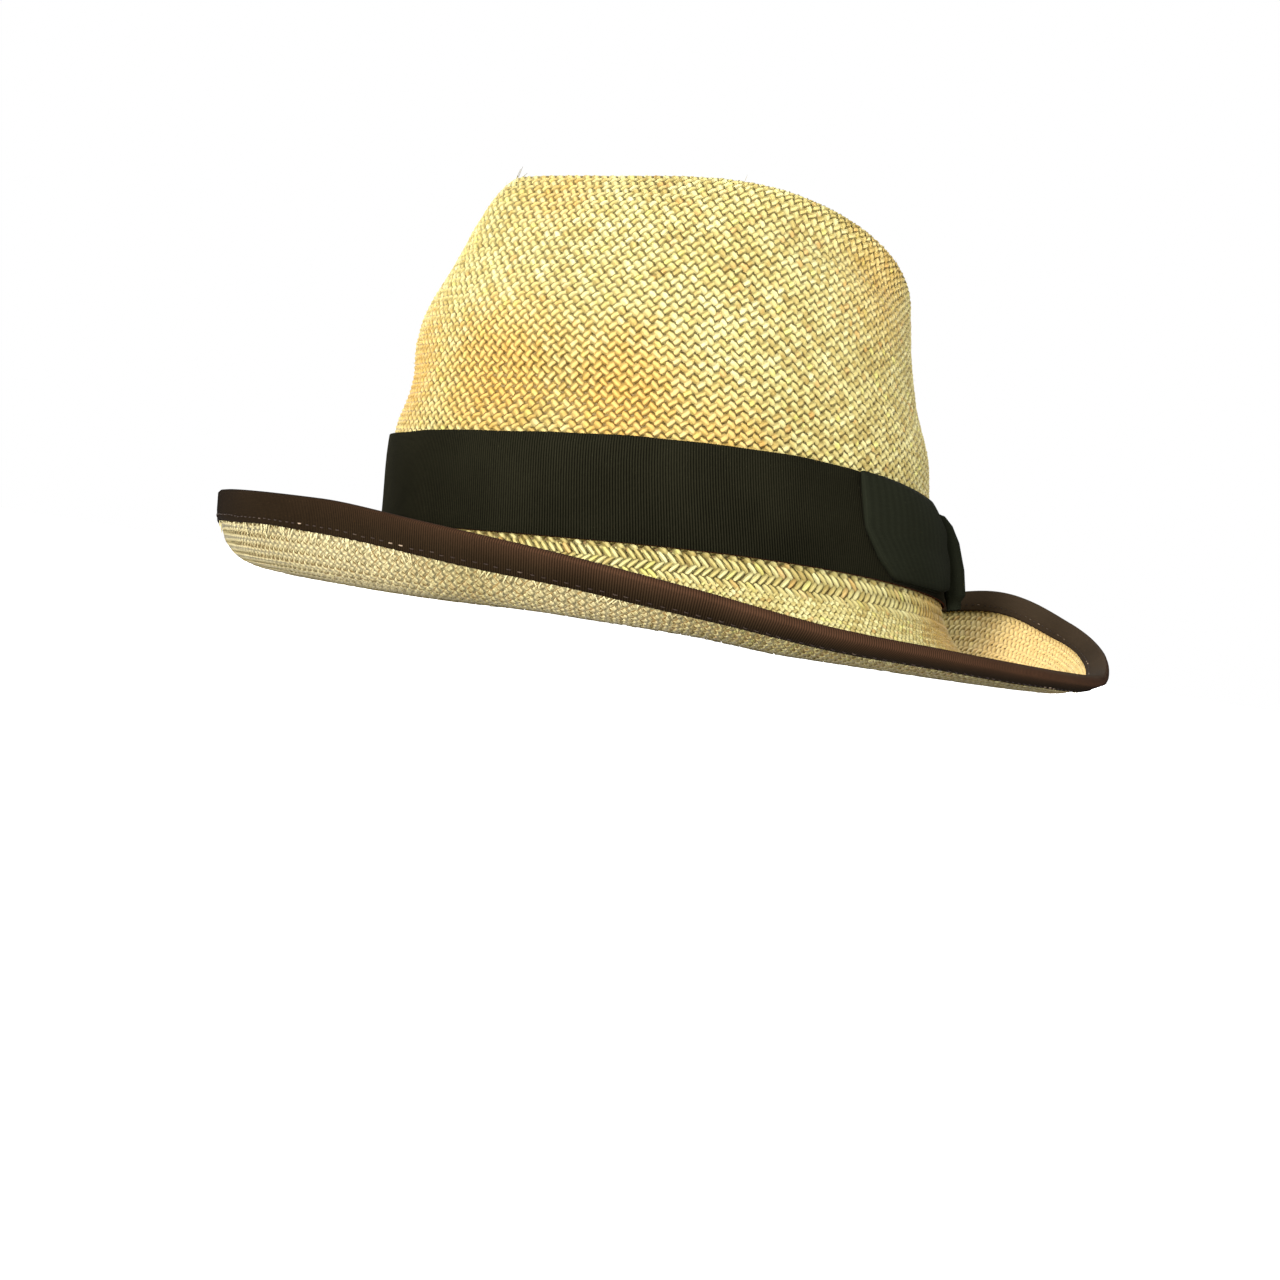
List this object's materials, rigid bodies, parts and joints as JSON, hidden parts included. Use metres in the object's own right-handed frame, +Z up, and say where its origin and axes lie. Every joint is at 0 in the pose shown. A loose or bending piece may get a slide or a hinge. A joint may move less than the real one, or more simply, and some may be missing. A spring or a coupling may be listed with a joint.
{
  "type": "woven straw hat with a ribbon band and bow",
  "caption": "Woven straw hat with a pinched, creased crown, a black ribbon band with a flat bow, and a curled brim bound with brown ribbon.",
  "frame": {"origin": "on the surface that the hat rests on, under the middle of the hat's outline", "axes": "+Z up through the crown, -Y towards the front that the wearer faces, +X towards the wearer's left, the side with the bow"},
  "size_m": [0.2742, 0.3084, 0.1366],
  "materials": {
    "straw": "woven natural straw, dry, lightly shiny",
    "band_ribbon": "ribbed black ribbon, matt with a soft sheen",
    "binding_ribbon": "ribbed dark brown ribbon, matt"
  },
  "bodies": {
    "root": {"straw_body": "straw", "hat_band": "band_ribbon", "brim_binding": "binding_ribbon", "bow_front_loop": "band_ribbon", "bow_back_loop": "band_ribbon", "bow_knot": "band_ribbon"}
  },
  "joints": []
}
